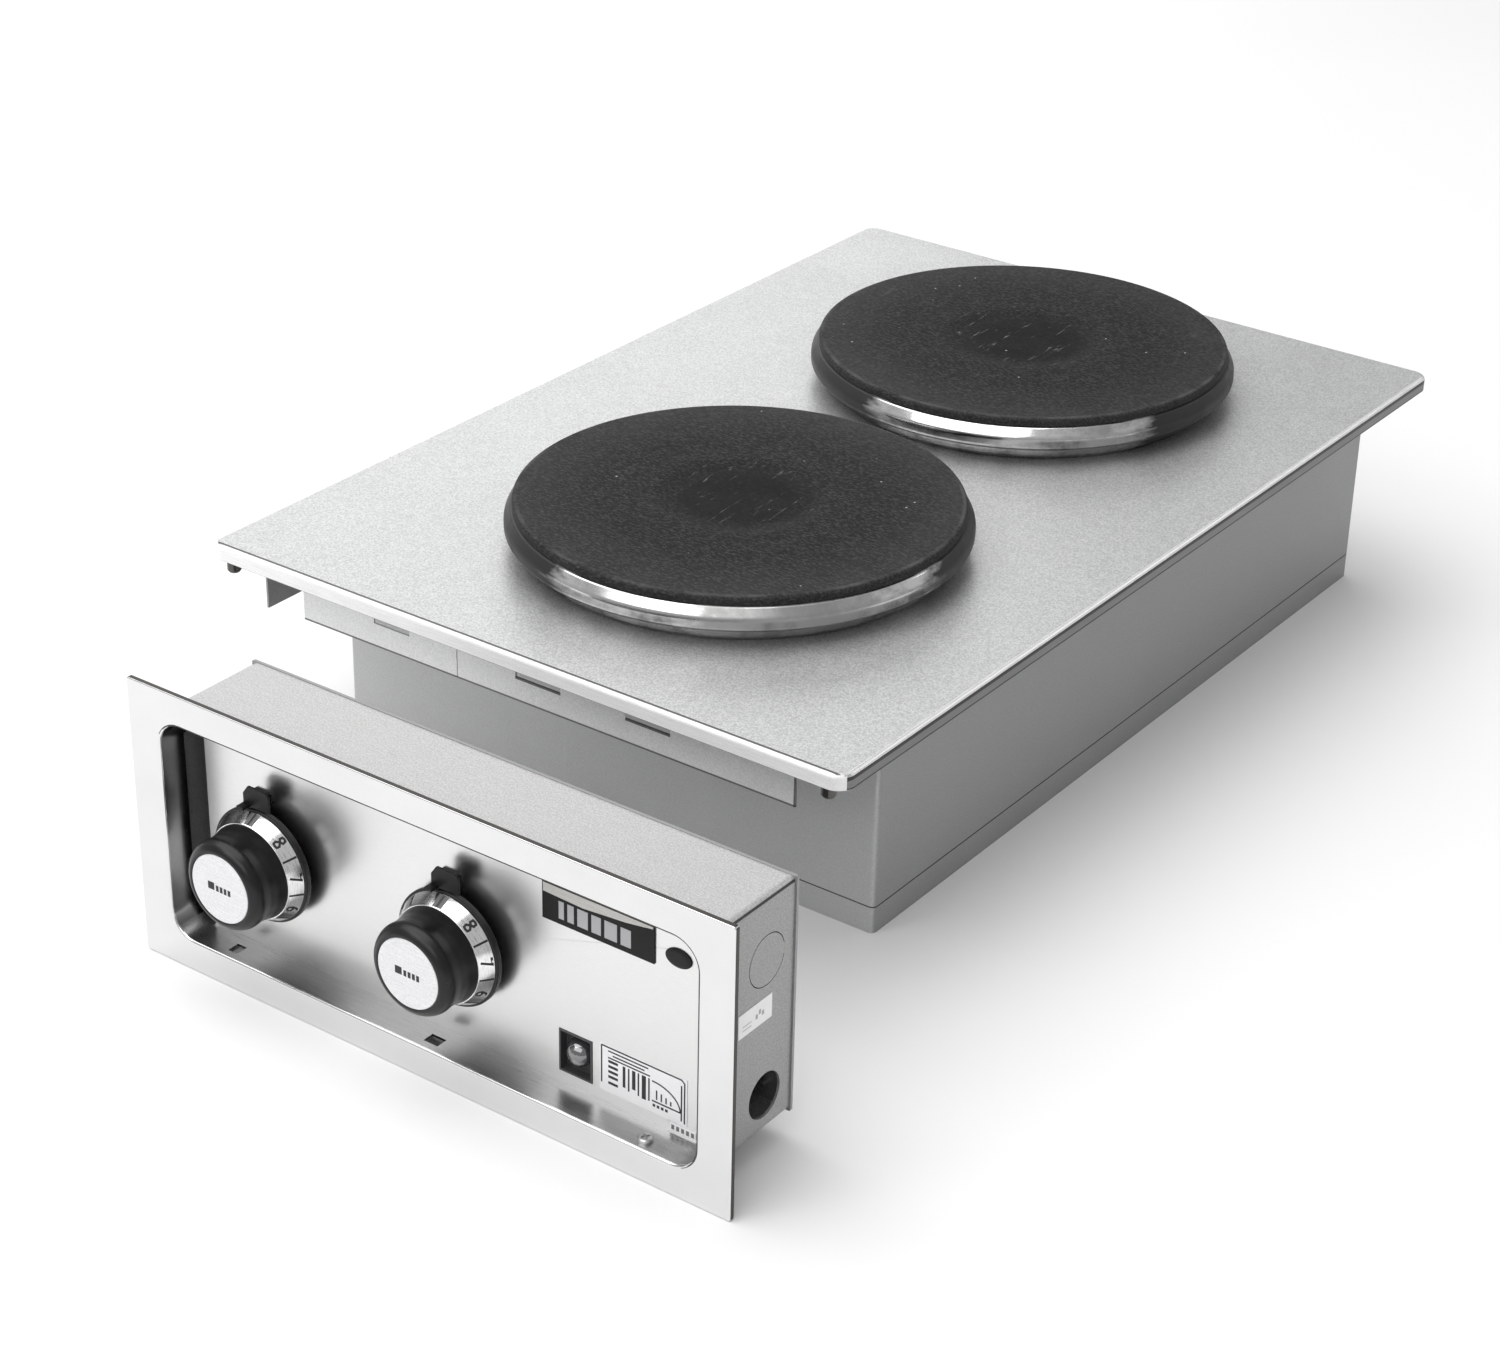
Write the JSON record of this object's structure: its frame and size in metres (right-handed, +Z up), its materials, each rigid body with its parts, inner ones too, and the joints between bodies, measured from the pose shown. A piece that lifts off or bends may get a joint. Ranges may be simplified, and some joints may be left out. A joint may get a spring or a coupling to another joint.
{
  "type": "drop-in electric hot plate",
  "caption": "Drop-in electric hot plate: round cast-iron plates on a steel deck over a sheet housing, with a separate control unit that carries the knobs.",
  "frame": {"origin": "under the middle of the deck, on the plane that both housings stand on", "axes": "+X to the right along the front edge, +Y to the back, +Z up"},
  "size_m": [0.4343, 0.7475, 0.1527],
  "materials": {
    "deck_steel": "satin, fine grain along the depth",
    "cast_iron": "matt machined top with a protective black coat",
    "ring_steel": "bright rolled stainless steel",
    "coil_wire": "resistance wire in magnesia",
    "cement": "fired insulating cement",
    "sheet_steel": "dull aluminised sheet",
    "plated_steel": "zinc plate",
    "brass": "dull",
    "ceramic": "unglazed steatite",
    "limiter": "moulded resin",
    "wire_jacket": "braided glass sleeve",
    "housing_steel": "dull aluminised sheet",
    "bezel_steel": "bright polished",
    "control_steel": "satin",
    "switch_plastic": "moulded phenolic",
    "knob_plastic": "satin black phenolic",
    "dial_metal": "bright, with black marks",
    "cap_plate": "satin white metal disc",
    "black_metal": "black",
    "name_foil": "black print on a satin plate",
    "label_paper": "matt film label",
    "lamp_plastic": "black",
    "lamp_lens": "dark tinted lens"
  },
  "bodies": {
    "hob": {"deck": "deck_steel", "front_plate": "cast_iron", "rear_plate": "cast_iron", "front_trim_ring": "ring_steel", "rear_trim_ring": "ring_steel", "front_coils": "coil_wire", "rear_coils": "coil_wire", "front_cement": "cement", "rear_cement": "cement", "front_plate_cover": "sheet_steel", "rear_plate_cover": "sheet_steel", "front_stud": "plated_steel", "rear_stud": "plated_steel", "front_bridge_bar": "sheet_steel", "rear_bridge_bar": "sheet_steel", "stud_nuts": "brass", "front_terminal_block": "ceramic", "rear_terminal_block": "ceramic", "thermal_limiters": "limiter", "plate_wires": "wire_jacket", "body_shell": "housing_steel", "body_back_panel": "housing_steel", "bottom_pan": "housing_steel", "heat_shield": "sheet_steel", "pan_screws": "plated_steel", "front_flange_left": "housing_steel", "front_flange_right": "housing_steel", "side_tab": "sheet_steel", "corner_studs": "plated_steel", "supply_block": "ceramic", "ground_lug": "brass"},
    "control_unit": {"bezel": "bezel_steel", "control_housing": "control_steel", "control_back": "sheet_steel", "control_panel": "control_steel", "left_switch": "switch_plastic", "right_switch": "switch_plastic", "switch_nuts": "brass", "left_pointer": "black_metal", "right_pointer": "black_metal", "nameplate": "name_foil", "rating_label": "label_paper", "strip_label": "label_paper", "lamp_frame": "lamp_plastic", "lamp_lens": "lamp_lens", "lamp_body": "switch_plastic", "hole_plug": "lamp_plastic", "floor_screw": "plated_steel", "side_label": "label_paper", "knockout_blank": "sheet_steel", "back_screws": "plated_steel"},
    "left_control_knob": {"left_knob": "knob_plastic", "left_dial": "dial_metal", "left_cap": "cap_plate", "left_shaft": "plated_steel"},
    "right_control_knob": {"right_knob": "knob_plastic", "right_dial": "dial_metal", "right_cap": "cap_plate", "right_shaft": "plated_steel"}
  },
  "joints": [
    {"name": "control_unit_slide", "type": "slide", "parent": "hob", "child": "control_unit", "axis": [0, -1, 0], "range_m": [-0.04, 0.25]},
    {"name": "left_knob_turn", "type": "hinge", "parent": "control_unit", "child": "left_control_knob", "pos_m": [-0.0286, -0.4218, 0.0657], "axis": [0, 1, 0], "range_deg": [0, 320]},
    {"name": "right_knob_turn", "type": "hinge", "parent": "control_unit", "child": "right_control_knob", "pos_m": [0.082, -0.4218, 0.0657], "axis": [0, 1, 0], "range_deg": [0, 320]}
  ]
}
